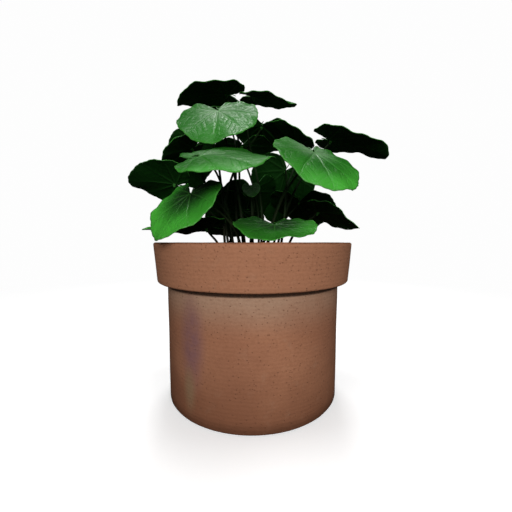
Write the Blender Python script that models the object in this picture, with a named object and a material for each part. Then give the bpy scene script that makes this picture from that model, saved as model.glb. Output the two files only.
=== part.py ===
"""A leafy pot herb: a rimmed terracotta pot, a plug of potting soil, and heart-shaped leaves, each on its own stalk.

Metres, +Z up. The origin is the middle of the pot's underside, the plant's front faces -Y, and +X is to the right
as seen from the front. Every size that can be set by itself is a named value below.
"""

import math
from dataclasses import dataclass

import bmesh
import bpy
from mathutils import Matrix, Vector

# Pot: a turned body under a thick collar. Its radius is the body's, just under the collar; the body narrows from
# there to the base, and the collar stands out from there and flares up to the lip.
POT_HEIGHT = 0.1145
POT_RADIUS = 0.0655
BODY_TAPER = 0.0010
BODY_WALL = 0.0060
BASE_THICKNESS = 0.0080
COLLAR_HEIGHT = 0.0285
COLLAR_OVERHANG = 0.0070
COLLAR_FLARE = 0.0025
LIP_WALL = 0.0110
DRAIN_RADIUS = 0.0065
POT_EDGE = 0.0012
POT_SIDES = 48

# Soil: fills the pot to a little below the lip.
SOIL_DROP = 0.0130
SOIL_CHAMFER = 0.0030

# Fits: every piece that rests on or against another keeps this gap to it.
GAP = 0.0003

# Leaf blade, as shares of the blade's width unless a unit is given.
BLADE_THICKNESS = 0.0008
BLADE_REACH = 0.59
SINUS_FALL = 2.4
SINUS_HALF_ANGLE = math.radians(16)
TIP_SPREAD = math.radians(24)
KEEL_SLOPE = 0.06
KEEL_ROUND = 0.05
WAVE_RISE = 0.12
WAVE_COUNT = 5
BLADE_SECTORS = 18
BLADE_RINGS = 3

# Leaf stalk. The two shares are of the straight distance from soil to leaf: how long it keeps its first and its
# last direction. It leans out as it leaves the soil, and reaches the blade from below and behind.
STALK_BASE_RADIUS = 0.0010
STALK_TOP_RADIUS = 0.0007
STALK_POINTS = 10
STALK_ROUNDNESS = 1
STALK_SEAT = 0.0015
RISE_SHARE = 0.55
ARRIVE_SHARE = 0.30
ARRIVE_ALONG = 0.5
ROOT_LEAN = 0.15


@dataclass(frozen=True)
class Leaf:
    """One leaf and its stalk.

    bearing and reach place the top of the stalk round the pot's axis (bearing 0 is +X, 90 is the back), and height
    is how far it stands above the pot's lip.
    heading, pitch and roll turn the blade: the way its tip points, how far the tip rises, and its lean sideways.
    width is the blade's, and cup, nod and tip are shares of it: how far the blade bowls up or domes down, how far
    its front half droops, and how far the tip is drawn out.
    root_bearing and root_reach say where the stalk leaves the soil, round the same axis.
    """

    name: str
    bearing: float
    reach: float
    height: float
    heading: float
    pitch: float
    roll: float
    width: float
    cup: float
    nod: float
    tip: float
    root_bearing: float
    root_reach: float


LEAVES = (
    #    name             bearing reach  height heading pitch roll width   cup    nod   tip   root
    Leaf("crown_left",       143, 0.026, 0.124,    189,    0,   -4, 0.060, -0.32, 0.00, 0.10,  150, 0.008),
    Leaf("crown_right",       96, 0.010, 0.119,      2,    0,   14, 0.048, -0.30, 0.00, 0.18,  -20, 0.006),
    Leaf("crown_back",       125, 0.042, 0.112,    140,  -14,    0, 0.048, -0.10, 0.00, 0.08,  172, 0.010),
    Leaf("upper_front",     -135, 0.034, 0.092,    -90,  -50,    4, 0.056, -0.16, 0.00, 0.03,  240, 0.010),
    Leaf("right_back",        19, 0.041, 0.080,    175,   26,   -3, 0.055,  0.16, 0.05, 0.08,   35, 0.012),
    Leaf("right_far",          6, 0.062, 0.083,    -15,  -13,    0, 0.058, -0.08, 0.05, 0.22,   -5, 0.018),
    Leaf("right_shoulder",   -48, 0.059, 0.057,    -72,  -43,   -8, 0.060, -0.20, 0.00, 0.04,  -25, 0.011),
    Leaf("left_middle",     -119, 0.064, 0.051,      4,   10,   28, 0.064, -0.28, 0.00, 0.12,  225, 0.011),
    Leaf("left_high",        170, 0.050, 0.078,    184,  -36,    0, 0.050,  0.10, 0.05, 0.08,  185, 0.014),
    Leaf("left_far",         168, 0.066, 0.049,    190,    6,   28, 0.053, -0.06, 0.00, 0.12,  150, 0.016),
    Leaf("left_low",        -129, 0.061, 0.0305,  -133,  -48,   -5, 0.055, -0.16, 0.00, 0.08,  250, 0.021),
    Leaf("back_middle",       96, 0.026, 0.046,    102,  -45,  -18, 0.060,  0.14, 0.00, 0.08,  100, 0.014),
    Leaf("back_right",        24, 0.043, 0.035,     63,  -32,    6, 0.060,  0.08, 0.00, 0.08,   45, 0.022),
    Leaf("right_low",          2, 0.051, 0.025,    -12,  -20,  -14, 0.045, -0.06, 0.10, 0.20,  -10, 0.026),
    Leaf("front_low",        -54, 0.027, 0.013,    -93,  -21,   -2, 0.058,  0.06, 0.00, 0.06,  -75, 0.015),
    Leaf("left_back_low",   -157, 0.036, 0.011,    191,   -4,    8, 0.058,  0.04, 0.00, 0.22,  195, 0.024),
    Leaf("back_high",        104, 0.046, 0.092,     84,  -16,   -4, 0.055,  0.00, 0.05, 0.08,   40, 0.005),
    Leaf("young_centre",    -100, 0.007, 0.043,    -89,  -70,    0, 0.014,  0.10, 0.00, 0.10,  -90, 0.005),
    Leaf("right_middle",      55, 0.053, 0.068,    112,  -57,   28, 0.062, -0.20, 0.00, 0.22,  -28, 0.023),
    Leaf("back_low",         107, 0.031, 0.028,    156,  -30,   33, 0.058,  0.02, 0.00, 0.11,  146, 0.025),
    Leaf("back_left",        136, 0.077, 0.096,    128,  -80,  -10, 0.057,  0.08, 0.00, 0.15, -158, 0.019),
    Leaf("back_top",          76, 0.031, 0.104,     85,  -14,   11, 0.060, -0.12, 0.00, 0.10, -152, 0.023),
)


def body_radius(height):
    """Outer radius of the pot's body at a height."""
    return POT_RADIUS - BODY_TAPER * (1 - height / (POT_HEIGHT - COLLAR_HEIGHT))


def bore_radius(height):
    """Inner radius of the pot: the body's wall up to the collar, then a flare out to the lip."""
    ledge = POT_HEIGHT - COLLAR_HEIGHT
    if height <= ledge:
        return body_radius(height) - BODY_WALL
    throat = POT_RADIUS - BODY_WALL
    mouth = POT_RADIUS + COLLAR_OVERHANG + COLLAR_FLARE - LIP_WALL
    return throat + (mouth - throat) * (height - ledge) / COLLAR_HEIGHT


def link(name, data, material):
    """Puts a mesh or curve in the scene as a named object with one material."""
    item = bpy.data.objects.new(name, data)
    data.materials.append(material)
    bpy.context.collection.objects.link(item)
    return item


def make_material(name, colour, roughness):
    """A plain Principled material."""
    material = bpy.data.materials.new(name)
    material.use_nodes = True
    shader = material.node_tree.nodes["Principled BSDF"]
    shader.inputs["Base Color"].default_value = (*colour, 1.0)
    shader.inputs["Roughness"].default_value = roughness
    shader.inputs["Metallic"].default_value = 0.0
    return material


def turned(outline, closed):
    """A mesh made by turning a (radius, height) outline once round the Z axis.

    A closed outline leaves a hole along the axis, and an open one starts and ends on the axis.
    """
    shape = bmesh.new()
    ring = [shape.verts.new((radius, 0.0, height)) for radius, height in outline]
    edges = [shape.edges.new(pair) for pair in zip(ring, ring[1:])]
    if closed:
        edges.append(shape.edges.new((ring[-1], ring[0])))
    bmesh.ops.spin(
        shape,
        geom=ring + edges,
        cent=(0, 0, 0),
        axis=(0, 0, 1),
        angle=math.tau,
        steps=POT_SIDES,
        use_merge=True,
    )
    bmesh.ops.remove_doubles(shape, verts=shape.verts, dist=1e-5)
    bmesh.ops.recalc_face_normals(shape, faces=shape.faces)
    mesh = bpy.data.meshes.new("turned")
    shape.to_mesh(mesh)
    shape.free()
    mesh.shade_smooth()
    mesh.set_sharp_from_angle(angle=math.radians(35))
    return mesh


def add_pot(material):
    """The clay pot: body, collar and drain hole in one piece."""
    ledge = POT_HEIGHT - COLLAR_HEIGHT
    outline = [
        (DRAIN_RADIUS, 0.0),
        (body_radius(0.0), 0.0),
        (POT_RADIUS, ledge),
        (POT_RADIUS + COLLAR_OVERHANG, ledge),
        (POT_RADIUS + COLLAR_OVERHANG + COLLAR_FLARE, POT_HEIGHT),
        (bore_radius(POT_HEIGHT), POT_HEIGHT),
        (bore_radius(ledge), ledge),
        (bore_radius(BASE_THICKNESS), BASE_THICKNESS),
        (DRAIN_RADIUS, BASE_THICKNESS),
    ]
    pot = link("pot", turned(outline, closed=True), material)
    bevel = pot.modifiers.new("edges", "BEVEL")
    bevel.width = POT_EDGE
    bevel.segments = 1
    bevel.limit_method = "ANGLE"
    bevel.angle_limit = math.radians(40)


def soil_top():
    """Height of the soil's surface."""
    return POT_HEIGHT - SOIL_DROP


def add_soil(material):
    """The plug of potting soil, which fills the bore and stops short of the lip."""
    ledge = POT_HEIGHT - COLLAR_HEIGHT
    floor = BASE_THICKNESS + GAP
    outline = [
        (0.0, floor),
        (bore_radius(floor) - GAP - SOIL_CHAMFER, floor),
        (bore_radius(floor + SOIL_CHAMFER) - GAP, floor + SOIL_CHAMFER),
        (bore_radius(ledge) - GAP, ledge),
        (bore_radius(soil_top()) - GAP, soil_top()),
        (0.0, soil_top()),
    ]
    link("soil", turned(outline, closed=False), material)


def blade_reach(angle, leaf):
    """Distance from the notch to the blade's edge, at an angle from the midrib."""
    heart = BLADE_REACH * (1 - abs(angle / math.pi) ** SINUS_FALL)
    tip = leaf.tip * math.exp(-((angle / TIP_SPREAD) ** 2))
    return leaf.width * (heart + tip)


def blade_rise(x, y, leaf):
    """Height of the blade above its flat plane: a shallow bowl with a keel, a nodding tip and a wavy edge."""
    across, along = x / leaf.width, y / leaf.width
    out = math.hypot(across, along)
    bowl = leaf.cup * out**2
    keel = KEEL_SLOPE * (math.hypot(across, KEEL_ROUND) - KEEL_ROUND)
    nod = leaf.nod * max(0.0, along) ** 2
    wave = WAVE_RISE * out**3 * math.sin(WAVE_COUNT * math.atan2(across, along) + leaf.bearing)
    return leaf.width * (bowl + keel - nod + wave)


def blade_mesh(leaf):
    """The blade as a fan of sectors round the notch, one sheet thick, with its tip along +Y and its top side up."""
    shape = bmesh.new()
    notch = shape.verts.new((0.0, 0.0, 0.0))
    widest = math.pi - SINUS_HALF_ANGLE
    spokes = []
    for sector in range(BLADE_SECTORS + 1):
        angle = widest * (2 * sector / BLADE_SECTORS - 1)
        spoke = [notch]
        for ring in range(1, BLADE_RINGS + 1):
            radius = blade_reach(angle, leaf) * ring / BLADE_RINGS
            x, y = radius * math.sin(angle), radius * math.cos(angle)
            spoke.append(shape.verts.new((x, y, blade_rise(x, y, leaf))))
        spokes.append(spoke)
    for near, far in zip(spokes, spokes[1:]):
        shape.faces.new((notch, far[1], near[1]))
        for ring in range(1, BLADE_RINGS):
            shape.faces.new((near[ring], far[ring], far[ring + 1], near[ring + 1]))
    bmesh.ops.recalc_face_normals(shape, faces=shape.faces)
    if sum(face.normal.z for face in shape.faces) < 0:
        bmesh.ops.reverse_faces(shape, faces=shape.faces)
    mesh = bpy.data.meshes.new(f"leaf_{leaf.name}")
    shape.to_mesh(mesh)
    shape.free()
    mesh.shade_smooth()
    return mesh


def blade_matrix(leaf):
    """Where the blade's notch is, and how the blade is turned."""
    bearing = math.radians(leaf.bearing)
    height = POT_HEIGHT + leaf.height
    notch = Vector((leaf.reach * math.cos(bearing), leaf.reach * math.sin(bearing), height))
    heading = Matrix.Rotation(math.radians(leaf.heading - 90), 4, "Z")
    pitch = Matrix.Rotation(math.radians(leaf.pitch), 4, "X")
    roll = Matrix.Rotation(math.radians(leaf.roll), 4, "Y")
    return Matrix.Translation(notch) @ heading @ pitch @ roll


def add_blade(leaf, material):
    """One leaf blade, thickened evenly to both sides of its sheet."""
    blade = link(f"leaf_{leaf.name}", blade_mesh(leaf), material)
    blade.matrix_world = blade_matrix(leaf)
    skin = blade.modifiers.new("thickness", "SOLIDIFY")
    skin.thickness = BLADE_THICKNESS
    skin.offset = 0.0


def stalk_line(leaf):
    """Points along a stalk: up out of the soil, then over to the underside of the blade just inside its notch."""
    frame = blade_matrix(leaf)
    midrib = frame.to_3x3() @ Vector((0, 1, 0))
    upper = frame.to_3x3() @ Vector((0, 0, 1))
    arrive = (midrib * ARRIVE_ALONG + upper).normalized()
    lift = BLADE_THICKNESS / 2 + GAP + STALK_TOP_RADIUS * arrive.cross(upper).length
    seat = frame.translation + midrib * STALK_SEAT - upper * lift / arrive.dot(upper)
    bearing = math.radians(leaf.root_bearing)
    outward = Vector((math.cos(bearing), math.sin(bearing), 0.0))
    leave = (Vector((0, 0, 1)) + outward * ROOT_LEAN).normalized()
    root = outward * leaf.root_reach
    root.z = soil_top() + GAP + STALK_BASE_RADIUS * leave.cross(Vector((0, 0, 1))).length
    span = (seat - root).length
    first = root + leave * span * RISE_SHARE
    second = seat - arrive * span * ARRIVE_SHARE
    points = []
    for step in range(STALK_POINTS):
        t = step / (STALK_POINTS - 1)
        points.append(
            root * (1 - t) ** 3
            + first * 3 * t * (1 - t) ** 2
            + second * 3 * t**2 * (1 - t)
            + seat * t**3
        )
    return points


def add_stalk(leaf, material):
    """One round, tapering leaf stalk."""
    curve = bpy.data.curves.new(f"stalk_{leaf.name}", "CURVE")
    curve.dimensions = "3D"
    curve.bevel_depth = STALK_BASE_RADIUS
    curve.bevel_resolution = STALK_ROUNDNESS
    curve.use_fill_caps = True
    line = curve.splines.new("POLY")
    points = stalk_line(leaf)
    line.points.add(len(points) - 1)
    for step, (target, place) in enumerate(zip(line.points, points)):
        share = step / (len(points) - 1)
        target.co = (*place, 1.0)
        target.radius = 1 + (STALK_TOP_RADIUS / STALK_BASE_RADIUS - 1) * share
    link(f"stalk_{leaf.name}", curve, material)


def build():
    """Clears the scene and models the plant."""
    for item in list(bpy.data.objects):
        bpy.data.objects.remove(item)
    clay = make_material("terracotta", (0.42, 0.17, 0.09), 0.75)
    earth = make_material("potting_soil", (0.035, 0.022, 0.014), 0.95)
    green = make_material("leaf_green", (0.03, 0.23, 0.035), 0.40)
    stem = make_material("stalk_green", (0.03, 0.12, 0.02), 0.50)
    add_pot(clay)
    add_soil(earth)
    for leaf in LEAVES:
        add_blade(leaf, green)
        add_stalk(leaf, stem)


build()
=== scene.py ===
"""A potted herb: broad heart-shaped leaves on long thin stalks, growing from soil in a turned clay pot."""

import logging
import math
import random
from collections.abc import Iterator
from contextlib import contextmanager
from dataclasses import dataclass, field
from enum import Enum

import bmesh
import bpy
import numpy as np
from mathutils import Matrix, Vector


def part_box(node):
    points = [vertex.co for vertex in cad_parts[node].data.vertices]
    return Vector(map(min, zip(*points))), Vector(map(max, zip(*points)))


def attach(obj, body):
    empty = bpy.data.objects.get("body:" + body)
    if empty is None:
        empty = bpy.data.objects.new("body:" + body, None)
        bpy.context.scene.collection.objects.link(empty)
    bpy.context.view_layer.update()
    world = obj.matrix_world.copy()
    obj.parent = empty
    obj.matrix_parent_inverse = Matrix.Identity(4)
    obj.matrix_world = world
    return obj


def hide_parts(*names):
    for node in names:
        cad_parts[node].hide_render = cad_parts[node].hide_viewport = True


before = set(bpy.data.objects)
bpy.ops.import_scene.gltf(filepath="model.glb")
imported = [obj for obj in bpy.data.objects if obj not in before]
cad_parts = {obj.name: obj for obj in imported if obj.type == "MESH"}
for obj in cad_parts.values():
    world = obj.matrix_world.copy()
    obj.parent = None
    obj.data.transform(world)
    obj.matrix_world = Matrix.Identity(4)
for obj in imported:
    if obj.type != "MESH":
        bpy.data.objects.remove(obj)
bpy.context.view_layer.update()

LOG = logging.getLogger("potted_herb")
ROOT = "root"
MM = 0.001
MERGE = 1e-5
LEAF_MAP = "spread"
LEAF_MAP_SPAN = 1.6
LEAF_MAP_CENTRE = (0.5, 0.4)
EDGE_SHARE = "share"

Triple = tuple[float, float, float]
Colour = Triple
Piece = bpy.types.Object
Socket = bpy.types.NodeSocket
Material = bpy.types.Material


class Slot(Enum):
    """The material slots of the part."""

    CLAY = "terracotta"
    SOIL = "potting_soil"
    LEAF = "leaf"
    STALK = "stalk"


class Side(Enum):
    """The two faces of a leaf blade, by the order of their material slots."""

    TOP = 0
    UNDERSIDE = 1


@dataclass(frozen=True)
class Veins:
    """The spacing of the veins: a fan of main veins, and side veins that slant off them."""

    gap: float = math.radians(18)
    side_gap: float = 0.042
    slant: float = 0.8


VEINS = Veins()


# ---------------------------------------------------------------- modelling helpers


def pick(piece: Piece) -> None:
    """Makes a piece the only selected one, and the active one.

    Args:
        piece: The object to work on.
    """
    bpy.ops.object.select_all(action="DESELECT")
    piece.select_set(True)
    bpy.context.view_layer.objects.active = piece


def added(name: str) -> Piece:
    """Names the primitive that was just added.

    Args:
        name: The name of the object and its mesh.

    Returns:
        The object, which is the only selected one.
    """
    piece = bpy.context.object
    piece.name = piece.data.name = name
    return piece


def start_line(name: str, first: Vector) -> Piece:
    """A new mesh of a single vertex in edit mode, ready to be extruded.

    Args:
        name: The piece's name.
        first: Where the vertex is.

    Returns:
        The new object.
    """
    bpy.ops.object.select_all(action="DESELECT")
    bpy.ops.mesh.primitive_plane_add(size=1.0)
    piece = added(name)
    bpy.ops.object.mode_set(mode="EDIT")
    bpy.ops.mesh.merge(type="CENTER")
    bpy.ops.transform.translate(value=first)
    return piece


def extrude_to(here: Vector, there: Vector) -> None:
    """Extrudes the selected vertex from one place to another."""
    bpy.ops.mesh.extrude_vertices_move(TRANSFORM_OT_translate={"value": there - here})


def weld_all(outward: bool = True) -> None:
    """Merges doubles over the whole mesh in edit mode.

    Args:
        outward: Whether the faces are then turned to point outwards.
    """
    bpy.ops.mesh.select_all(action="SELECT")
    bpy.ops.mesh.remove_doubles(threshold=MERGE)
    if outward:
        bpy.ops.mesh.normals_make_consistent(inside=False)


@contextmanager
def editing() -> Iterator[None]:
    """Holds the active mesh in edit mode, with all of it selected at first.

    Yields:
        Nothing, once, while the mesh is in edit mode.
    """
    bpy.ops.object.mode_set(mode="EDIT")
    bpy.ops.mesh.select_all(action="SELECT")
    yield
    bpy.ops.object.mode_set(mode="OBJECT")


def apply_modifiers(piece: Piece) -> None:
    """Applies every modifier of a piece in order.

    Args:
        piece: The piece.
    """
    pick(piece)
    for modifier in list(piece.modifiers):
        bpy.ops.object.modifier_apply(modifier=modifier.name)


def own_copy(piece: Piece, name: str) -> Piece:
    """A copy of a piece with a mesh of its own.

    Args:
        piece: The piece to copy.
        name: The name of the copy and its mesh.

    Returns:
        The copy, linked to the scene.
    """
    twin = piece.copy()
    twin.data = piece.data.copy()
    twin.name = twin.data.name = name
    bpy.context.scene.collection.objects.link(twin)
    return twin


def join(pieces: list[Piece], name: str) -> Piece:
    """Joins pieces into one.

    Args:
        pieces: The pieces, of which the first keeps its settings.
        name: The name of the joined piece.

    Returns:
        The joined object.
    """
    pick(pieces[0])
    for piece in pieces[1:]:
        piece.select_set(True)
    bpy.ops.object.join()
    joined = bpy.context.object
    joined.name = joined.data.name = name
    return joined


def discard(piece: Piece) -> None:
    """Removes a working piece from the file."""
    bpy.data.objects.remove(piece, do_unlink=True)


def displace(piece: Piece, size: float, strength: float, group: str = "", depth: int = 2) -> None:
    """Adds a cloudy displacement to a piece.

    Args:
        piece: The piece.
        size: The size of the lumps.
        strength: The distance from the lowest hollow to the highest lump.
        group: The vertex group that the displacement keeps to, if any.
        depth: How many finer layers the clouds have.
    """
    clouds = bpy.data.textures.new(f"{piece.name}_lumps", "CLOUDS")
    clouds.noise_scale = size
    clouds.noise_depth = depth
    modifier = piece.modifiers.new("lumps", "DISPLACE")
    modifier.texture = clouds
    modifier.strength = strength
    modifier.mid_level = 0.5
    modifier.vertex_group = group


def finish_piece(piece: Piece, slot: Slot, *nodes: str) -> None:
    """Hangs a finished piece on the plant and logs it.

    Args:
        piece: The piece.
        slot: The material slot that is named in the log.
        nodes: The nodes of the frame that it stands for.
    """
    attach(piece, ROOT)
    if nodes:
        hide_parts(*nodes)
    LOG.info("%s: %d faces, %s", piece.name, len(piece.data.polygons), slot.value)


# ---------------------------------------------------------------- finishes


class Recipe:
    """A material's node tree, with short calls to add to it."""

    def __init__(self, name: str) -> None:
        """Starts a material with a Principled shader.

        Args:
            name: The material's name.
        """
        self.material = bpy.data.materials.new(name)
        self.material.use_nodes = True
        self.tree = self.material.node_tree
        self.shader = self.tree.nodes["Principled BSDF"]

    def node(self, kind: str, **settings: object) -> bpy.types.Node:
        """Adds a node and sets its properties.

        Args:
            kind: The node's type without its ShaderNode prefix.
            settings: Properties of the node.

        Returns:
            The node.
        """
        made = self.tree.nodes.new(f"ShaderNode{kind}")
        for key, value in settings.items():
            setattr(made, key, value)
        return made

    def feed(self, target: Socket, value: object) -> None:
        """Links an output to an input, or sets the input's own value.

        Args:
            target: The input.
            value: An output, a colour or a number.
        """
        if isinstance(value, Socket):
            self.tree.links.new(value, target)
        elif isinstance(value, tuple) and len(value) == 3 and target.type == "RGBA":
            target.default_value = (*value, 1.0)
        else:
            target.default_value = value

    def math(self, operation: str, *values: object) -> Socket:
        """Adds a Math node.

        Args:
            operation: What it does.
            values: The numbers or outputs that it does it to.

        Returns:
            The result.
        """
        made = self.node("Math", operation=operation)
        for target, value in zip(made.inputs, values):
            self.feed(target, value)
        return made.outputs[0]

    def times(self, first: object, second: object) -> Socket:
        """The product of two numbers or outputs."""
        return self.math("MULTIPLY", first, second)

    def ramp(
        self, value: object, low: float, high: float, start: float = 0.0, end: float = 1.0
    ) -> Socket:
        """A smooth change from start to end while the value goes from low to high.

        Args:
            value: The output that is read.
            low: The value where the change starts.
            high: The value where it ends.
            start: The result at and below low.
            end: The result at and above high.

        Returns:
            The output with the result.
        """
        made = self.node("MapRange", interpolation_type="SMOOTHSTEP")
        keys = ("Value", "From Min", "From Max", "To Min", "To Max")
        for key, number in zip(keys, (value, low, high, start, end)):
            self.feed(made.inputs[key], number)
        return made.outputs["Result"]

    def mix(self, share: object, first: object, second: object) -> Socket:
        """Mixes two colours.

        Args:
            share: How much of the second colour there is.
            first: The first colour or output.
            second: The second colour or output.

        Returns:
            The mixed colour.
        """
        made = self.node("Mix", data_type="RGBA")
        self.feed(made.inputs["Factor"], share)
        self.feed(made.inputs[6], first)
        self.feed(made.inputs[7], second)
        return made.outputs[2]

    def noise(self, where: Socket, scale: float, detail: float = 4.0, rough: float = 0.5) -> Socket:
        """The height of a noise pattern.

        Args:
            where: The coordinates.
            scale: Lumps to a metre, or to a unit of the coordinates.
            detail: How many finer layers there are.
            rough: How strong the finer layers are.

        Returns:
            The output, about 0 to 1.
        """
        made = self.node("TexNoise")
        self.feed(made.inputs["Vector"], where)
        for key, number in (("Scale", scale), ("Detail", detail), ("Roughness", rough)):
            made.inputs[key].default_value = number
        return made.outputs["Fac"]

    def cells(self, where: Socket, scale: float, feature: str = "F1") -> Socket:
        """The distances of a Voronoi pattern.

        Args:
            where: The coordinates.
            scale: Cells to a metre, or to a unit of the coordinates.
            feature: What the distance is measured from.

        Returns:
            The distance.
        """
        made = self.node("TexVoronoi", feature=feature)
        self.feed(made.inputs["Vector"], where)
        made.inputs["Scale"].default_value = scale
        return made.outputs["Distance"]

    def place(self) -> Socket:
        """The Object coordinates."""
        return self.node("TexCoord").outputs["Object"]

    def height(self, where: Socket) -> Socket:
        """The height of a place.

        Args:
            where: The coordinates.

        Returns:
            Their Z.
        """
        parts = self.node("SeparateXYZ")
        self.feed(parts.inputs[0], where)
        return parts.outputs["Z"]

    def reach(self, where: Socket) -> Socket:
        """The distance of a place from the origin.

        Args:
            where: The coordinates.

        Returns:
            Their length.
        """
        length = self.node("VectorMath", operation="LENGTH")
        self.feed(length.inputs[0], where)
        return length.outputs["Value"]

    def spot(self, centre: Triple, radii: Triple) -> Socket:
        """A soft ellipsoid mask in Object coordinates.

        Args:
            centre: The middle of the spot.
            radii: Its half sizes.

        Returns:
            1 at the middle, 0 at the radii and beyond.
        """
        moved = self.node("Mapping", vector_type="TEXTURE")
        self.feed(moved.inputs["Vector"], self.place())
        moved.inputs["Location"].default_value = centre
        moved.inputs["Scale"].default_value = radii
        return self.ramp(self.reach(moved.outputs[0]), 0.1, 1.0, 1.0, 0.0)

    def bump(self, height: object, distance: float, strength: float = 1.0, onto: object = None) -> Socket:
        """A bumped normal.

        Args:
            height: The output that gives the height.
            distance: How deep the bumps are.
            strength: How strongly they show.
            onto: The normal of the bumps beneath, if any.

        Returns:
            The normal.
        """
        made = self.node("Bump")
        made.inputs["Strength"].default_value = strength
        made.inputs["Distance"].default_value = distance
        self.feed(made.inputs["Height"], height)
        if onto is not None:
            self.feed(made.inputs["Normal"], onto)
        return made.outputs["Normal"]

    def done(self, colour: object, rough: object, normal: object, specular: float) -> Material:
        """Feeds the shader.

        Args:
            colour: The base colour.
            rough: The roughness.
            normal: The bumped normal.
            specular: The specular level.

        Returns:
            The finished material.
        """
        self.feed(self.shader.inputs["Base Color"], colour)
        self.feed(self.shader.inputs["Roughness"], rough)
        self.feed(self.shader.inputs["Normal"], normal)
        self.shader.inputs["Specular IOR Level"].default_value = specular
        return self.material


@dataclass(frozen=True)
class Terracotta:
    """Fired clay that has stood outdoors: turning lines, grain, lime bloom, stains and a darker foot, with
    painted shade towards the bottom, a painted shadow line under the collar and a painted dark line along
    the lip.
    """

    collar_foot: float
    lip: float
    clay: Colour = (0.370, 0.158, 0.086)
    pale: Colour = (0.450, 0.200, 0.108)
    deep: Colour = (0.215, 0.082, 0.040)
    bloom: Colour = (0.430, 0.268, 0.178)
    mauve: Colour = (0.255, 0.122, 0.122)
    olive: Colour = (0.290, 0.185, 0.100)
    dark_foot: Colour = (0.070, 0.026, 0.012)
    collar_shadow: Colour = (0.018, 0.008, 0.004)
    stain: tuple[Triple, Triple] = ((-0.0375, -0.053, 0.053), (0.0135, 0.016, 0.040))
    moss: tuple[Triple, Triple] = ((-0.0395, -0.051, 0.022), (0.0065, 0.014, 0.020))
    turning: tuple[tuple[str, float], ...] = (
        ("Scale", 125.0),
        ("Distortion", 2.5),
        ("Detail", 3.0),
        ("Detail Scale", 1.2),
    )

    def weather(self, mix: Recipe, where: Socket) -> Socket:
        """The colour of the clay with its lime band, stains and darker foot, and its painted shade: darker
        towards the bottom, a shadow line under the collar and a dark line along the lip.

        Args:
            mix: The recipe that is added to.
            where: The Object coordinates.

        Returns:
            The colour.
        """
        tall = mix.height(where)
        patches = mix.noise(where, 22.0, 3.0)
        mottle = mix.noise(where, 120.0, 4.0, 0.6)
        foot = self.collar_foot
        collar = mix.ramp(tall, foot - 0.001, foot)
        below = mix.math("SUBTRACT", 1.0, collar)
        warm = mix.math("MAXIMUM", mix.ramp(patches, 0.4, 0.75), mix.times(collar, 0.8))
        colour = mix.mix(warm, self.clay, self.pale)
        # Painted shade: the clay darkens towards the bottom of the pot.
        uneven = mix.math("ADD", tall, mix.times(patches, 0.03))
        colour = mix.mix(mix.ramp(uneven, 0.008, 0.070, 0.85, 0.0), colour, self.deep)
        band = mix.times(mix.ramp(tall, foot - 0.030, foot - 0.004), below)
        lime = mix.times(band, mix.ramp(patches, 0.25, 0.65, 0.45, 0.95))
        specks = mix.times(mix.ramp(mottle, 0.55, 0.75), mix.ramp(patches, 0.3, 0.7, 0.05, 0.22))
        colour = mix.mix(mix.math("MAXIMUM", lime, specks), colour, self.bloom)
        stain = mix.times(mix.spot(*self.stain), below)
        stain = mix.times(stain, mix.ramp(mottle, 0.3, 0.6, 0.6, 1.0))
        colour = mix.mix(stain, colour, self.mauve)
        # A darker band at the very foot of the pot.
        ragged = mix.math("ADD", tall, mix.times(mottle, 0.003))
        colour = mix.mix(mix.ramp(ragged, 0.002, 0.011, 0.65, 0.0), colour, self.dark_foot)
        colour = mix.mix(mix.times(mix.spot(*self.moss), 0.8), colour, self.olive)
        # Painted shadow: a dark line just under the collar.
        painted_collar_shadow = mix.times(mix.ramp(tall, foot - 0.0040, foot - 0.0026), below)
        colour = mix.mix(mix.times(painted_collar_shadow, 0.93), colour, self.collar_shadow)
        # Painted shade: a dark line along the top of the lip.
        lip = mix.ramp(tall, self.lip - 0.0013, self.lip - 0.0006)
        lip = mix.times(lip, mix.ramp(mottle, 0.3, 0.6, 0.45, 0.85))
        return mix.mix(lip, colour, self.deep)

    def make(self) -> Material:
        """Builds the material.

        Returns:
            The clay.
        """
        mix = Recipe("terracotta")
        where = mix.place()
        colour = self.weather(mix, where)
        grain = mix.noise(where, 650.0, 5.0, 0.65)
        mottle = mix.noise(where, 140.0, 4.0, 0.6)
        colour = mix.mix(mix.times(mix.ramp(grain, 0.40, 0.75), 0.30), colour, self.deep)
        pits = mix.ramp(mix.cells(where, 420.0), 0.06, 0.20)
        colour = mix.mix(mix.times(mix.math("SUBTRACT", 1.0, pits), 0.6), colour, self.deep)
        lines = mix.node("TexWave", wave_type="BANDS", bands_direction="Z", wave_profile="SIN")
        mix.feed(lines.inputs["Vector"], where)
        for key, number in self.turning:
            lines.inputs[key].default_value = number
        normal = mix.bump(lines.outputs["Fac"], 0.00012, 0.5)
        normal = mix.bump(mottle, 0.00030, 0.7, normal)
        normal = mix.bump(grain, 0.00016, 0.8, normal)
        normal = mix.bump(pits, 0.00040, 0.8, normal)
        return mix.done(colour, mix.ramp(mottle, 0.3, 0.7, 0.74, 0.92), normal, 0.22)


@dataclass(frozen=True)
class PottingSoil:
    """Dark, damp compost, mottled with fibre."""

    name: str = "soil"
    dark: Colour = (0.018, 0.011, 0.007)
    light: Colour = (0.085, 0.052, 0.030)
    rough: float = 0.9

    def make(self) -> Material:
        """Builds the material.

        Returns:
            The soil.
        """
        mix = Recipe(self.name)
        where = mix.place()
        lumps = mix.noise(where, 160.0, 5.0, 0.65)
        fibre = mix.noise(where, 900.0, 4.0, 0.7)
        colour = mix.mix(mix.ramp(lumps, 0.35, 0.72), self.dark, self.light)
        colour = mix.mix(mix.times(mix.ramp(fibre, 0.58, 0.75), 0.45), colour, self.light)
        normal = mix.bump(lumps, 0.0012, 0.8)
        normal = mix.bump(fibre, 0.0004, 0.9, normal)
        return mix.done(colour, mix.ramp(lumps, 0.3, 0.7, self.rough - 0.2, self.rough), normal, 0.3)


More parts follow.
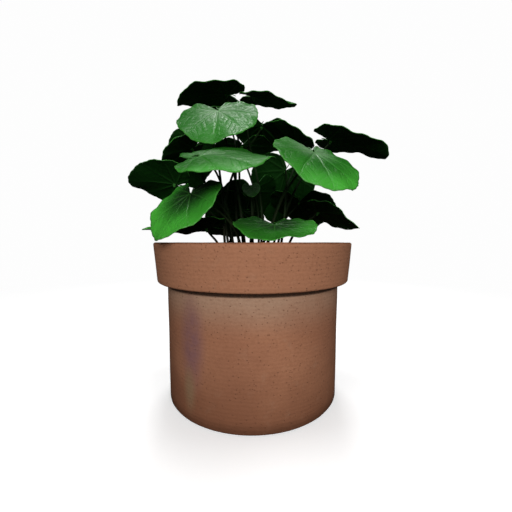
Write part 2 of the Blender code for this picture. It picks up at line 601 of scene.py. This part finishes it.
@dataclass(frozen=True)
class BladeSkin:
    """The skin of one side of a leaf, with fan veins, side veins and a fine net."""

    name: str
    body: Colour
    deep: Colour
    vein: Colour
    # The bloom colour is a painted highlight: a pale sheen near the notch of the high leaves.
    bloom: Colour
    painted_sheen_share: float
    # Painted shade: this colour darkens the notch of the low leaves and the middle of the plant.
    shade: Colour
    shade_share: float
    # Painted light: brighter green towards the edges of the low leaves.
    painted_light: Colour
    vein_share: float
    rough: float
    relief: float
    specular: float
    painted_light_below: tuple[float, float] = (0.148, 0.168)
    painted_sheen_above: tuple[float, float] = (0.161, 0.173)
    # The heart spot is painted shade round the middle of the plant, where the leaves overlap.
    heart: tuple[Triple, Triple] = ((0.0, -0.025, 0.145), (0.066, 0.076, 0.050))

    def pattern(self, mix: Recipe, spread: Socket) -> tuple[Socket, Socket]:
        """The veins, drawn from the leaf's own map.

        Args:
            mix: The recipe that is added to.
            spread: The place on the leaf, across and along it, from the notch.

        Returns:
            The distance from the notch, and the strength of the veins.
        """
        wander = mix.times(mix.math("SUBTRACT", mix.noise(spread, 5.0, 2.0), 0.5), 0.20)
        parts = mix.node("SeparateXYZ")
        mix.feed(parts.inputs[0], spread)
        out = mix.reach(spread)
        turn = mix.math("ARCTAN2", parts.outputs["X"], parts.outputs["Y"])
        fold = mix.math("PINGPONG", mix.math("ADD", turn, mix.times(wander, 0.8)), VEINS.gap)
        aside = mix.times(out, mix.math("SINE", fold))
        ahead = mix.times(out, mix.math("COSINE", fold))
        width = mix.ramp(out, 0.0, 0.75, 0.017, 0.004)
        main = mix.ramp(mix.math("DIVIDE", aside, width), 0.25, 1.0, 1.0, 0.0)
        run = mix.math("SUBTRACT", ahead, mix.times(aside, VEINS.slant))
        run = mix.math("ADD", run, mix.times(wander, 0.35))
        side = mix.ramp(mix.math("PINGPONG", run, VEINS.side_gap), 0.0, 0.0075, 1.0, 0.0)
        side = mix.times(side, mix.ramp(out, 0.08, 0.22, 0.0, 0.75))
        net = mix.ramp(mix.cells(spread, 34.0, "DISTANCE_TO_EDGE"), 0.0, 0.10, 1.0, 0.0)
        return out, mix.math("MAXIMUM", mix.math("MAXIMUM", main, side), mix.times(net, 0.35))

    def tint(self, mix: Recipe, where: Socket, out: Socket, mottle: Socket) -> Socket:
        """The colour between the veins, with painted light: a pale painted highlight near the notch of
        high leaves, painted light towards the edges of low ones, and painted shade near their notch and in
        the middle of the plant.

        Args:
            mix: The recipe that is added to.
            where: The Object coordinates.
            out: The distance from the notch.
            mottle: A fine noise.

        Returns:
            The colour.
        """
        shade = mix.noise(where, 16.0, 2.0)
        colour = mix.mix(mix.ramp(shade, 0.3, 0.7, 0.15, 0.85), self.body, self.deep)
        colour = mix.mix(mix.times(mix.ramp(mottle, 0.4, 0.7), 0.25), colour, self.deep)
        tall = mix.height(where)
        # Painted highlight: a pale sheen near the notch, on the high leaves only.
        upper = mix.ramp(tall, *self.painted_sheen_above)
        painted_sheen = mix.times(mix.ramp(out, 0.02, 0.36, self.painted_sheen_share, 0.0), upper)
        colour = mix.mix(painted_sheen, colour, self.bloom)
        # On the low leaves: painted light towards the edges and painted shade near the notch.
        lower = mix.ramp(tall, *self.painted_light_below, 1.0, 0.0)
        painted_light_share = mix.times(mix.ramp(out, 0.15, 0.55, 0.0, 0.85), lower)
        colour = mix.mix(painted_light_share, colour, self.painted_light)
        # Painted shade: dark near the notch of the low leaves, and round the middle of the plant.
        shaded = mix.times(mix.ramp(out, 0.10, 0.52, self.shade_share, 0.0), lower)
        painted_core_shade = mix.times(mix.spot(*self.heart), 0.9)
        return mix.mix(mix.math("MAXIMUM", shaded, painted_core_shade), colour, self.shade)

    def make(self) -> Material:
        """Builds the material.

        Returns:
            The skin.
        """
        mix = Recipe(self.name)
        flat = mix.node("Mapping")
        mix.feed(flat.inputs["Vector"], mix.node("UVMap", uv_map=LEAF_MAP).outputs[0])
        centre = [-LEAF_MAP_SPAN * number for number in LEAF_MAP_CENTRE]
        flat.inputs["Location"].default_value = (*centre, 0.0)
        flat.inputs["Scale"].default_value = (LEAF_MAP_SPAN, LEAF_MAP_SPAN, 1.0)
        out, veins = self.pattern(mix, flat.outputs[0])
        where = mix.place()
        mottle = mix.noise(where, 90.0, 4.0, 0.6)
        colour = self.tint(mix, where, out, mottle)
        share = mix.node("Attribute", attribute_name=EDGE_SHARE).outputs["Fac"]
        # A lighter margin: a margin vein, partly a painted edge highlight.
        colour = mix.mix(mix.times(mix.ramp(share, 0.955, 0.995), 0.55), colour, self.vein)
        colour = mix.mix(mix.times(veins, self.vein_share), colour, self.vein)
        normal = mix.bump(veins, self.relief, 0.6)
        normal = mix.bump(mottle, 0.0003, 0.4, normal)
        rough = mix.ramp(mottle, 0.3, 0.7, self.rough - 0.06, self.rough + 0.08)
        return mix.done(colour, rough, normal, self.specular)


@dataclass(frozen=True)
class StalkSkin:
    """The ribbed skin of a leaf stalk: a near-black green as painted shade, browner towards the soil."""

    name: str = "stalk_skin"
    # Painted shade: a near-black green, darker than a stalk's own green.
    upper: Colour = (0.008, 0.026, 0.005)
    lower: Colour = (0.014, 0.010, 0.005)
    soil_top: float = 0.1015

    def make(self) -> Material:
        """Builds the material.

        Returns:
            The stalk's skin.
        """
        mix = Recipe(self.name)
        where = mix.place()
        mottle = mix.noise(where, 260.0, 4.0, 0.6)
        risen = mix.ramp(mix.height(where), self.soil_top, self.soil_top + 0.05)
        colour = mix.mix(risen, self.lower, self.upper)
        colour = mix.mix(mix.times(mix.ramp(mottle, 0.45, 0.7), 0.5), colour, self.lower)
        ribs = mix.node("Mapping")
        mix.feed(ribs.inputs["Vector"], where)
        ribs.inputs["Scale"].default_value = (1.0, 1.0, 0.08)
        normal = mix.bump(mix.noise(ribs.outputs[0], 2400.0, 2.0), 0.00012, 0.7)
        return mix.done(colour, mix.ramp(mottle, 0.3, 0.7, 0.55, 0.70), normal, 0.15)


@dataclass(frozen=True)
class Perlite:
    """White puffed grains, dusted with soil."""

    clean: Colour = (0.62, 0.60, 0.55)
    dusty: Colour = (0.20, 0.15, 0.10)

    def make(self) -> Material:
        """Builds the material.

        Returns:
            The perlite.
        """
        mix = Recipe("perlite")
        where = mix.place()
        dust = mix.noise(where, 420.0, 3.0)
        colour = mix.mix(mix.ramp(dust, 0.45, 0.68, 0.0, 0.8), self.clean, self.dusty)
        normal = mix.bump(mix.cells(where, 1500.0), 0.0003, 0.8)
        return mix.done(colour, mix.ramp(dust, 0.3, 0.7, 0.75, 0.95), normal, 0.3)


@dataclass(frozen=True)
class PaleFloor:
    """A matt white studio floor that glows as white as the air behind it, except round the pot."""

    glow: float
    near_share: float = 0.5
    tone: Colour = (0.80, 0.80, 0.80)
    black: Colour = (0.0, 0.0, 0.0)
    near: float = 0.10
    far: float = 0.75

    def make(self) -> Material:
        """Builds the material.

        Returns:
            The floor's finish.
        """
        mix = Recipe("pale_floor")
        where = mix.place()
        far = mix.ramp(mix.reach(where), self.near, self.far)
        faint = mix.noise(where, 3.0, 2.0)
        self_lit = mix.mix(far, (self.glow * self.near_share,) * 3, (self.glow,) * 3)
        mix.feed(mix.shader.inputs["Emission Color"], self_lit)
        mix.shader.inputs["Emission Strength"].default_value = 1.0
        return mix.done(mix.mix(far, self.tone, self.black), 0.85, mix.bump(faint, 0.0001, 0.1), 0.0)


# ---------------------------------------------------------------- pot and soil


@dataclass
class ClayPot:
    """The turned pot: a nearly straight body, a thick flared collar and a drain hole."""

    base_radius: float = 0.0645
    shoulder_radius: float = 0.0655
    collar_foot_radius: float = 0.0725
    lip_radius: float = 0.0750
    mouth_radius: float = 0.0640
    throat_radius: float = 0.0595
    floor_radius: float = 0.0586
    drain_radius: float = 0.0065
    collar_height: float = 0.0285
    base_thickness: float = 0.008
    edge: float = 0.0016
    sides: int = 160
    step: float = 0.004
    unevenness: float = 0.0005

    def corners(self) -> list[Vector]:
        """The corners of the half section, as points in the XZ plane.

        Returns:
            The corners from the drain hole out, up, over the lip and down the bore.
        """
        low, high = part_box("pot")
        ledge = high.z - self.collar_height
        floor = low.z + self.base_thickness
        section = (
            (self.drain_radius, low.z),
            (self.base_radius, low.z),
            (self.shoulder_radius, ledge),
            (self.collar_foot_radius, ledge),
            (self.lip_radius, high.z),
            (self.mouth_radius, high.z),
            (self.throat_radius, ledge),
            (self.floor_radius, floor),
            (self.drain_radius, floor),
        )
        return [Vector((radius, 0.0, height)) for radius, height in section]

    def build(self) -> None:
        """Extrudes the section point by point, spins it, rounds its edges and dresses it."""
        first, *others = self.corners()
        piece = start_line("clay_pot", first)
        here = first
        for corner in (*others, first):
            steps = max(1, round((corner - here).length / self.step))
            for there in [here.lerp(corner, count / steps) for count in range(1, steps + 1)]:
                extrude_to(here, there)
                here = there
        weld_all(outward=False)
        bpy.ops.mesh.spin(steps=self.sides, angle=math.tau, center=(0, 0, 0), axis=(0, 0, 1))
        weld_all()
        bpy.ops.object.mode_set(mode="OBJECT")
        rounding = piece.modifiers.new("edges", "BEVEL")
        rounding.width = self.edge
        rounding.segments = 4
        rounding.limit_method = "ANGLE"
        rounding.angle_limit = math.radians(40)
        displace(piece, 0.03, self.unevenness)
        apply_modifiers(piece)
        bpy.ops.object.shade_smooth_by_angle(angle=math.radians(35))
        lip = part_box("pot")[1].z
        piece.data.materials.append(Terracotta(collar_foot=lip - self.collar_height, lip=lip).make())
        finish_piece(piece, Slot.CLAY, "pot")


@dataclass
class SoilBed:
    """The plug of compost, with a crumbly top, loose crumbs and perlite grains."""

    throat: float = 0.086
    narrowing: float = 0.955
    wall_gap: float = 0.0006
    clearance: float = 0.004
    crust: float = 0.004
    voxel: float = 0.0016
    lumps: tuple[tuple[float, float, int], ...] = ((0.012, 0.0030, 1), (0.0032, 0.0016, 3))
    crumbs: int = 520
    grains: int = 70
    smallest: float = 0.0006
    largest: float = 0.0021
    seed: int = 7
    finish: PottingSoil = PottingSoil()

    def plug(self) -> Piece:
        """The body of the soil, wider towards its top, with a lumpy surface.

        Returns:
            The piece.
        """
        low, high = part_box("soil")
        height = high.z - low.z
        middle = (0, 0, (low.z + high.z) / 2)
        radius = high.x - self.wall_gap
        bpy.ops.object.select_all(action="DESELECT")
        bpy.ops.mesh.primitive_cylinder_add(vertices=96, radius=radius, depth=height, location=middle)
        piece = added("soil_bed")
        bpy.ops.object.transform_apply(location=True, rotation=True, scale=True)
        with editing():
            bpy.ops.mesh.bisect(plane_co=(0, 0, self.throat), plane_no=(0, 0, 1))
        for vertex in piece.data.vertices:
            vertex.select = vertex.co.z < self.throat + MM
        bpy.ops.object.mode_set(mode="EDIT")
        bpy.ops.transform.resize(value=(self.narrowing, self.narrowing, 1.0), center_override=(0, 0, 0))
        bpy.ops.object.mode_set(mode="OBJECT")
        grid = piece.modifiers.new("grid", "REMESH")
        grid.mode = "VOXEL"
        grid.voxel_size = self.voxel
        apply_modifiers(piece)
        top = piece.vertex_groups.new(name="top")
        for vertex in piece.data.vertices:
            rim = 1.0 - min(1.0, math.hypot(vertex.co.x, vertex.co.y) / high.x)
            if vertex.co.z > high.z - self.crust:
                top.add([vertex.index], min(1.0, 0.25 + rim * 6), "REPLACE")
        for size, rise, depth in self.lumps:
            displace(piece, size, rise, "top", depth)
        apply_modifiers(piece)
        bpy.ops.object.shade_smooth()
        return piece

    def crumb(self, name: str, kick: random.Random) -> Piece:
        """One angular crumb, modelled round the origin.

        Args:
            name: The crumb's name.
            kick: The source of its dents.

        Returns:
            The crumb.
        """
        bpy.ops.object.select_all(action="DESELECT")
        bpy.ops.mesh.primitive_ico_sphere_add(subdivisions=1, radius=1.0)
        piece = added(name)
        with editing():
            bpy.ops.mesh.bevel(offset=0.12, segments=1, affect="VERTICES")
            bpy.ops.transform.resize(value=(1.0, kick.uniform(0.7, 0.9), kick.uniform(0.6, 0.8)))
            bpy.ops.mesh.vertices_smooth(factor=0.3)
        for vertex in piece.data.vertices:
            vertex.co *= kick.uniform(0.82, 1.12)
        return piece

    def scatter(self, name: str, count: int, ground: Piece, material: Material) -> None:
        """Strews crumbs on the soil, clear of the pot's wall.

        Args:
            name: The name of the joined piece.
            count: How many crumbs there are.
            ground: The soil that they lie on.
            material: Their finish.
        """
        kick = random.Random(self.seed + count)
        masters = [self.crumb(f"{name}_{kind}", kick) for kind in range(3)]
        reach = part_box("soil")[1].x - self.clearance
        strewn = []
        for number in range(count):
            angle, far = kick.uniform(0, math.tau), reach * math.sqrt(kick.random())
            size = self.smallest + (self.largest - self.smallest) * kick.random() ** 2.5
            top = Vector((far * math.cos(angle), far * math.sin(angle), 0.2))
            hit, spot, _, _ = ground.ray_cast(top, Vector((0, 0, -1)))
            if not hit:
                continue
            twin = own_copy(masters[number % 3], f"{name}_{number}")
            spin = Matrix.Rotation(kick.uniform(0, math.tau), 4, "Z")
            lean = Matrix.Rotation(kick.uniform(-0.5, 0.5), 4, "X")
            seat = Matrix.Translation(spot + Vector((0, 0, size * 0.25)))
            twin.data.transform(seat @ spin @ lean @ Matrix.Scale(size, 4))
            strewn.append(twin)
        for master in masters:
            discard(master)
        piece = join(strewn, name)
        bpy.ops.object.shade_smooth_by_angle(angle=math.radians(50))
        piece.data.materials.clear()
        piece.data.materials.append(material)
        finish_piece(piece, Slot.SOIL, "soil")

    def build(self) -> None:
        """Builds the plug, the crumbs and the perlite, and dresses them."""
        plug = self.plug()
        material = self.finish.make()
        plug.data.materials.append(material)
        finish_piece(plug, Slot.SOIL, "soil")
        self.scatter("soil_crumbs", self.crumbs, plug, material)
        self.scatter("soil_perlite", self.grains, plug, Perlite().make())


# ---------------------------------------------------------------- leaves


@dataclass(frozen=True)
class Outline:
    """The blade's heart shape, in shares of its width: a lobed disc with a drawn-out tip and a sinus."""

    reach: float = 0.59
    sinus_fall: float = 2.4
    half_span: float = math.radians(164)
    tip_spread: float = math.radians(24)
    keel_slope: float = 0.06
    keel_round: float = 0.05
    waves: int = 5

    def heart(self, angle: float) -> float:
        """The outline without its tip."""
        return self.reach * (1 - abs(angle / math.pi) ** self.sinus_fall)

    def point(self, angle: float) -> float:
        """The swell that draws the tip out, for a tip of one width."""
        return math.exp(-((angle / self.tip_spread) ** 2))

    def keel(self, across: float) -> float:
        """The rise of both halves from the midrib."""
        return self.keel_slope * (math.hypot(across, self.keel_round) - self.keel_round)

    def terms(self, across: float, along: float) -> tuple[float, float, float, float]:
        """The free height terms at a place: bowl, nodding tip, and the two phases of the wavy edge.

        Args:
            across: The distance from the midrib, as a share of the width.
            along: The distance from the notch along the midrib.

        Returns:
            The four terms, as shares of the width.
        """
        out = math.hypot(across, along)
        angle = self.waves * math.atan2(across, along)
        return out**2, -max(0.0, along) ** 2, out**3 * math.sin(angle), out**3 * math.cos(angle)


@dataclass
class Survey:
    """One blade of the frame, measured: where it lies, how wide it is and how it curves."""

    leaf: str
    stalk: str
    outline: Outline
    end_corners: int = 6
    rounds: int = 5
    flat_turn: float = math.radians(50)
    place: Matrix = field(default_factory=Matrix)
    seat: Vector = field(default_factory=Vector)
    width: float = 0.0
    tip: float = 0.0
    lift: float = 0.0
    curve: tuple[float, ...] = ()

    def stalk_end(self, near: Vector) -> Vector:
        """The middle of the stalk's top end.

        Args:
            near: A place by the leaf.

        Returns:
            The middle of the stalk's corners that are closest to it.
        """
        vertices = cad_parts[self.stalk].data.vertices
        corners = {tuple(round(number, 6) for number in vertex.co) for vertex in vertices}
        ordered = sorted(map(Vector, corners), key=lambda corner: (corner - near).length)
        closest = ordered[: self.end_corners]
        return sum(closest, Vector()) / len(closest)

    def upper_sheet(self) -> tuple[list[Vector], list[Vector], Vector]:
        """The corners of the upper side of the CAD blade.

        Returns:
            The notch and the other corners, the corners on the edge, and the mean normal.
        """
        shape = bmesh.new()
        shape.from_mesh(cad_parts[self.leaf].data)
        bmesh.ops.remove_doubles(shape, verts=shape.verts, dist=MERGE)
        hubs = sorted(shape.verts, key=lambda corner: len(corner.link_faces))[-2:]
        end = self.stalk_end(hubs[0].co)
        notch = max(hubs, key=lambda corner: (corner.co - end).length)
        upward = sum((face.normal for face in notch.link_faces), Vector()).normalized()
        # A dict keeps the order in which faces are met, so that every run adds them up alike.
        found = dict.fromkeys(face for face in notch.link_faces if face.normal.dot(upward) > 0.6)
        edge_of_search = list(found)
        while edge_of_search:
            face = edge_of_search.pop()
            for side in face.edges:
                for other in side.link_faces:
                    if other not in found and other.normal.angle(face.normal) < self.flat_turn:
                        found[other] = None
                        edge_of_search.append(other)
        corners = dict.fromkeys(corner for face in found for corner in face.verts if corner != notch)
        rim = [corner.co.copy() for corner in corners if not found.keys() >= set(corner.link_faces)]
        normal = sum((face.normal * face.calc_area() for face in found), Vector()).normalized()
        places = [notch.co.copy()] + [corner.co.copy() for corner in corners]
        self.seat = end
        shape.free()
        return places, rim, normal

    @staticmethod
    def solve(rows: np.ndarray, results: np.ndarray) -> list[float]:
        """The least-squares weights of the columns."""
        return [float(number) for number in np.linalg.lstsq(rows, results, rcond=None)[0]]

    def aim(self, notch: Vector, midrib: Vector, upper: Vector) -> None:
        """Sets the blade's axes: X across, Y along the midrib, Z out of the upper side.

        Args:
            notch: The origin of the axes.
            midrib: The way to the tip, which may lean out of the blade.
            upper: The way out of the upper side.
        """
        ahead = (midrib - upper * midrib.dot(upper)).normalized()
        across = ahead.cross(upper)
        self.place = Matrix.Translation(notch) @ Matrix((across, ahead, upper)).transposed().to_4x4()

    def measure(self) -> "Survey":
        """Fits the outline and the height terms to the CAD blade, turning the axes until no tilt is left.

        Returns:
            The survey itself.
        """
        places, rim, upper = self.upper_sheet()
        notch = places[0]
        tip = max(places, key=lambda place: (place - notch).length)
        self.aim(notch, tip - notch, upper)
        for _ in range(self.rounds):
            home = self.place.inverted()
            edge = [home @ place for place in rim]
            lobes = self.outline.half_span * 0.95
            edge = [place for place in edge if abs(math.atan2(place.x, place.y)) < lobes]
            angles = [math.atan2(place.x, place.y) for place in edge]
            shapes = np.array([(self.outline.heart(angle), self.outline.point(angle)) for angle in angles])
            spans = np.array([math.hypot(place.x, place.y) for place in edge])
            self.width, drawn = self.solve(shapes, spans)
            self.tip = drawn / self.width
            rows, rises = [], []
            for place in (home @ corner / self.width for corner in places):
                rows.append((1.0, place.x, place.y, *self.outline.terms(place.x, place.y)))
                rises.append(place.z - self.outline.keel(place.x))
            fit = self.solve(np.array(rows), np.array(rises))
            self.lift, self.curve = fit[0], tuple(fit[3:])
            across, ahead, out = self.place.to_3x3().col
            self.aim(notch, ahead, (out - across * fit[1] - ahead * fit[2]).normalized())
        return self


@dataclass
class Blade:
    """The leaf blades: one flat fan, copied, cut to each heart shape, curved and thickened."""

    outline: Outline = Outline()
    spokes: int = 164
    rings: int = 30
    middle_thickness: float = 0.0007
    edge_thickness: float = 0.45
    vein_depth: float = 0.0075
    quilt: float = 0.0045
    groove_width: float = 0.016
    crinkle: float = 0.010
    crinkles: int = 13
    scallop: float = 0.006
    scallops: int = 41
    hub_radius: float = 0.00105
    hub_overlap: float = 0.0022
    hub_offset: float = 0.0016
    top: BladeSkin = BladeSkin(
        "leaf_top",
        body=(0.030, 0.245, 0.016),
        deep=(0.008, 0.125, 0.006),
        vein=(0.080, 0.350, 0.050),
        bloom=(0.270, 0.400, 0.260),
        painted_sheen_share=0.60,
        shade=(0.001, 0.020, 0.001),
        shade_share=0.97,
        painted_light=(0.064, 0.440, 0.036),
        vein_share=0.26,
        rough=0.35,
        relief=-0.0004,
        specular=0.32,
    )
    # Painted shade: the underside is near-black green, darker than a leaf's own paler underside.
    underside: BladeSkin = BladeSkin(
        "leaf_underside",
        body=(0.0040, 0.0340, 0.0030),
        deep=(0.0020, 0.0170, 0.0015),
        vein=(0.0120, 0.0560, 0.0090),
        bloom=(0.0060, 0.0400, 0.0050),
        painted_sheen_share=0.4,
        shade=(0.0020, 0.0170, 0.0015),
        shade_share=0.4,
        painted_light=(0.0050, 0.0380, 0.0040),
        vein_share=0.6,
        rough=0.75,
        relief=0.0006,
        specular=0.04,
    )
    hub_finish: StalkSkin = StalkSkin("leaf_hub", upper=(0.030, 0.150, 0.020), lower=(0.020, 0.080, 0.012))

    def fan(self) -> Piece:
        """The master blade: a flat fan of unit reach round the notch, open at the sinus.

        Returns:
            The master; shape gives each copy its UV map and its share attribute.
        """
        half = self.outline.half_span
        notch, far = Vector(), Vector((math.sin(half), math.cos(half), 0.0))
        piece = start_line("blade_master", notch)
        extrude_to(notch, far)
        bpy.ops.mesh.select_all(action="SELECT")
        bpy.ops.mesh.subdivide(number_cuts=self.rings - 1)
        bpy.ops.mesh.select_all(action="SELECT")
        bpy.ops.mesh.spin(steps=self.spokes, angle=2 * half, center=notch, axis=(0, 0, 1))
        weld_all(outward=False)
        bpy.ops.object.mode_set(mode="OBJECT")
        if sum(face.normal.z for face in piece.data.polygons) < 0:
            with editing():
                bpy.ops.mesh.flip_normals()
        return piece

    def relief(self, across: float, along: float, share: float) -> float:
        """The sunken veins and the puffed tissue between them.

        Args:
            across: The distance from the midrib, as a share of the width.
            along: The distance from the notch along the midrib.
            share: The distance from the notch, as a share of the way to the edge.

        Returns:
            The height, as a share of the width.
        """
        out = math.hypot(across, along)
        fold = abs((math.atan2(across, along) + VEINS.gap) % (2 * VEINS.gap) - VEINS.gap)
        aside, ahead = out * math.sin(fold), out * math.cos(fold)
        groove = math.exp(-((aside / self.groove_width) ** 2)) * math.sqrt(max(0.0, 1 - share))
        run = (ahead - VEINS.slant * aside) / VEINS.side_gap
        fullness = math.sqrt(max(0.0, math.sin(math.pi * share)))
        puff = abs(math.sin(math.pi * run / 2)) * min(1.0, aside / 0.03) * fullness
        return self.quilt * puff - self.vein_depth * groove

    def shape(self, piece: Piece, survey: Survey) -> None:
        """Cuts a copy of the fan to the surveyed outline and gives it its curves.

        Args:
            piece: The copy.
            survey: The blade that it follows.
        """
        mesh = piece.data
        thinning = piece.vertex_groups.new(name="thickness")
        shares, flat = [], []
        for vertex in mesh.vertices:
            share = math.hypot(vertex.co.x, vertex.co.y)
            angle = math.atan2(vertex.co.x, vertex.co.y)
            reach = self.outline.heart(angle) + survey.tip * self.outline.point(angle)
            reach *= 1 + self.scallop * math.sin(self.scallops * angle) * share**8
            across, along = share * reach * math.sin(angle), share * reach * math.cos(angle)
            rise = survey.lift + self.outline.keel(across)
            terms = self.outline.terms(across, along)
            rise += sum(weight * term for weight, term in zip(survey.curve, terms))
            rise += self.relief(across, along, share)
            rise += self.crinkle * share**6 * math.sin(self.crinkles * angle + 3 * survey.width / MM)
            vertex.co = Vector((across, along, rise)) * survey.width
            shares.append(share)
            thinning.add([vertex.index], 1 - (1 - self.edge_thickness) * share**2, "REPLACE")
            middle, notch = LEAF_MAP_CENTRE
            flat.append((middle + across / LEAF_MAP_SPAN, notch + along / LEAF_MAP_SPAN))
        mesh.attributes.new(EDGE_SHARE, "FLOAT", "POINT").data.foreach_set("value", shares)
        spread = mesh.uv_layers.new(name=LEAF_MAP)
        for loop in mesh.loops:
            spread.data[loop.index].uv = flat[loop.vertex_index]

    def thicken(self, piece: Piece) -> None:
        """Thickens the sheet downwards, less towards the edge, and gives the underside its skin.

        Args:
            piece: The sheet.
        """
        skin = piece.modifiers.new("thickness", "SOLIDIFY")
        skin.thickness = self.middle_thickness
        skin.offset = -1.0
        skin.vertex_group = "thickness"
        skin.thickness_vertex_group = 0.3
        skin.material_offset = Side.UNDERSIDE.value
        apply_modifiers(piece)

    def hub(self, survey: Survey) -> Piece:
        """The small swelling where the stalk meets the blade.

        Args:
            survey: The blade that it sits under.

        Returns:
            The swelling, in place.
        """
        ceiling = (survey.lift - self.vein_depth) * survey.width - self.middle_thickness * 0.5
        top = survey.place @ Vector((0.0, self.hub_offset, ceiling))
        axis = top - survey.seat
        size = self.hub_radius * min(1.0, survey.width / 0.04)
        bpy.ops.object.select_all(action="DESELECT")
        bpy.ops.mesh.primitive_cylinder_add(vertices=20, radius=size, depth=1.0)
        piece = bpy.context.object
        with editing():
            bpy.ops.mesh.subdivide(number_cuts=3)
        length = axis.length + self.hub_overlap
        for vertex in piece.data.vertices:
            up = vertex.co.z + 0.5
            swell = 0.80 + 0.55 * up**1.5 - 0.375 * max(0.0, up - 0.8)
            vertex.co.x *= swell
            vertex.co.y *= swell
            vertex.co.z = up * length - self.hub_overlap
        turn = axis.to_track_quat("Z", "Y").to_matrix().to_4x4()
        home = survey.place.inverted()
        piece.data.transform(home @ Matrix.Translation(survey.seat) @ turn)
        for vertex in piece.data.vertices:
            vertex.co.z = min(vertex.co.z, ceiling)
        piece.data.transform(survey.place)
        bpy.ops.object.shade_smooth()
        return piece

    def build(self) -> None:
        """Models the master, then one leaf for each blade of the frame."""
        master = self.fan()
        sides = {Side.TOP: self.top, Side.UNDERSIDE: self.underside}
        skins = [sides[side].make() for side in Side]
        hub_skin = self.hub_finish.make()
        for node in sorted(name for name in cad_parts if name.startswith("leaf_")):
            name = node.removeprefix("leaf_")
            survey = Survey(node, f"stalk_{name}", self.outline).measure()
            piece = own_copy(master, f"blade_{name}")
            self.shape(piece, survey)
            for skin in skins:
                piece.data.materials.append(skin)
            self.thicken(piece)
            piece.data.transform(survey.place)
            bpy.ops.object.shade_smooth()
            hub = self.hub(survey)
            hub.data.materials.append(hub_skin)
            piece = join([piece, hub], f"blade_{name}")
            finish_piece(piece, Slot.LEAF, node)
            LOG.info("  width %.1f mm, tip %.2f", survey.width / MM, survey.tip)
        discard(master)


@dataclass
class Stalks:
    """The leaf stalks of the frame, smoothed and dressed."""

    plump: float = 0.00016
    levels: int = 2
    finish: StalkSkin = StalkSkin()

    def build(self) -> None:
        """Gives each stalk node a weld, its lost girth back, a subdivision surface and its skin."""
        skin = self.finish.make()
        for name in sorted(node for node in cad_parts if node.startswith("stalk_")):
            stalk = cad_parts[name]
            weld = stalk.modifiers.new("weld", "WELD")
            weld.merge_threshold = MERGE
            girth = stalk.modifiers.new("girth", "DISPLACE")
            girth.strength = self.plump
            girth.mid_level = 0.0
            rounding = stalk.modifiers.new("rounding", "SUBSURF")
            rounding.levels = rounding.render_levels = self.levels
            stalk.data.materials.clear()
            stalk.data.materials.append(skin)
            LOG.info("%s: kept and dressed", name)


# ---------------------------------------------------------------- studio


@dataclass(frozen=True)
class Lamp:
    """A square soft light."""

    name: str
    place: Triple
    size: float
    power: float
    mirrored: bool = True

    def hang(self, target: Triple) -> None:
        """Adds the light to the scene.

        Args:
            target: Where it is aimed.
        """
        lamp = bpy.data.lights.new(self.name, "AREA")
        lamp.size = self.size
        lamp.energy = self.power
        stand = bpy.data.objects.new(self.name, lamp)
        bpy.context.scene.collection.objects.link(stand)
        stand.location = self.place
        stand.visible_glossy = self.mirrored
        line = Vector(target) - stand.location
        stand.rotation_euler = line.to_track_quat("-Z", "Y").to_euler()


@dataclass
class Studio:
    """The floor, the lights and the camera."""

    lamps: tuple[Lamp, ...] = (
        Lamp("key_light", (0.03, -0.80, 0.34), 0.35, 5.0),
        Lamp("top_light", (0.0, 0.0, 1.5), 0.45, 9.0),
        Lamp("back_light", (0.0, 1.20, 0.75), 0.6, 11.0, mirrored=False),
    )
    target: Triple = (0.0, 0.0, 0.11)
    floor_span: float = 60.0
    floor_drop: float = 0.0002
    camera_place: Triple = (0.0025, -0.223, 0.1145)
    camera_tilt: float = math.radians(2.78)
    lens: float = 19.55
    sky: float = 0.04
    backdrop: float = 0.985

    def lay_floor(self) -> None:
        """Lays a pale floor just under the pot."""
        bpy.ops.object.select_all(action="DESELECT")
        bpy.ops.mesh.primitive_plane_add(size=self.floor_span, location=(0, 0, -self.floor_drop))
        floor = added("studio_floor")
        bpy.ops.object.transform_apply(location=True, rotation=True, scale=True)
        with editing():
            bpy.ops.mesh.subdivide(number_cuts=3)
        floor.data.materials.append(PaleFloor(glow=self.backdrop).make())
        floor.visible_diffuse = False
        floor.visible_glossy = False

    def fill_air(self) -> None:
        """Makes the air a dim even light that looks white itself."""
        world = bpy.data.worlds.new("studio_air")
        world.use_nodes = True
        tree = world.node_tree
        air = tree.nodes["Background"]
        air.inputs["Color"].default_value = (1.0, 1.0, 1.0, 1.0)
        seen = tree.nodes.new("ShaderNodeLightPath")
        level = tree.nodes.new("ShaderNodeMapRange")
        level.inputs["To Min"].default_value = self.sky
        level.inputs["To Max"].default_value = self.backdrop
        tree.links.new(seen.outputs["Is Camera Ray"], level.inputs["Value"])
        tree.links.new(level.outputs["Result"], air.inputs["Strength"])
        bpy.context.scene.world = world

    def build(self) -> None:
        """Sets up the studio."""
        self.lay_floor()
        self.fill_air()
        for lamp in self.lamps:
            lamp.hang(self.target)
        bpy.context.scene.view_settings.view_transform = "Standard"
        camera = bpy.data.cameras.new("camera")
        camera.lens = self.lens
        camera.clip_start = 0.01
        stand = bpy.data.objects.new("camera", camera)
        bpy.context.scene.collection.objects.link(stand)
        stand.location = self.camera_place
        stand.rotation_euler = (math.radians(90) - self.camera_tilt, 0.0, 0.0)
        bpy.context.scene.camera = stand


def main() -> None:
    """Builds the pot, the soil, the leaves, the stalks and the studio."""
    logging.basicConfig(level=logging.INFO, format="%(name)s %(message)s")
    ClayPot().build()
    SoilBed().build()
    Blade().build()
    Stalks().build()
    Studio().build()
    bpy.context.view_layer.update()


if __name__ == "__main__":
    main()
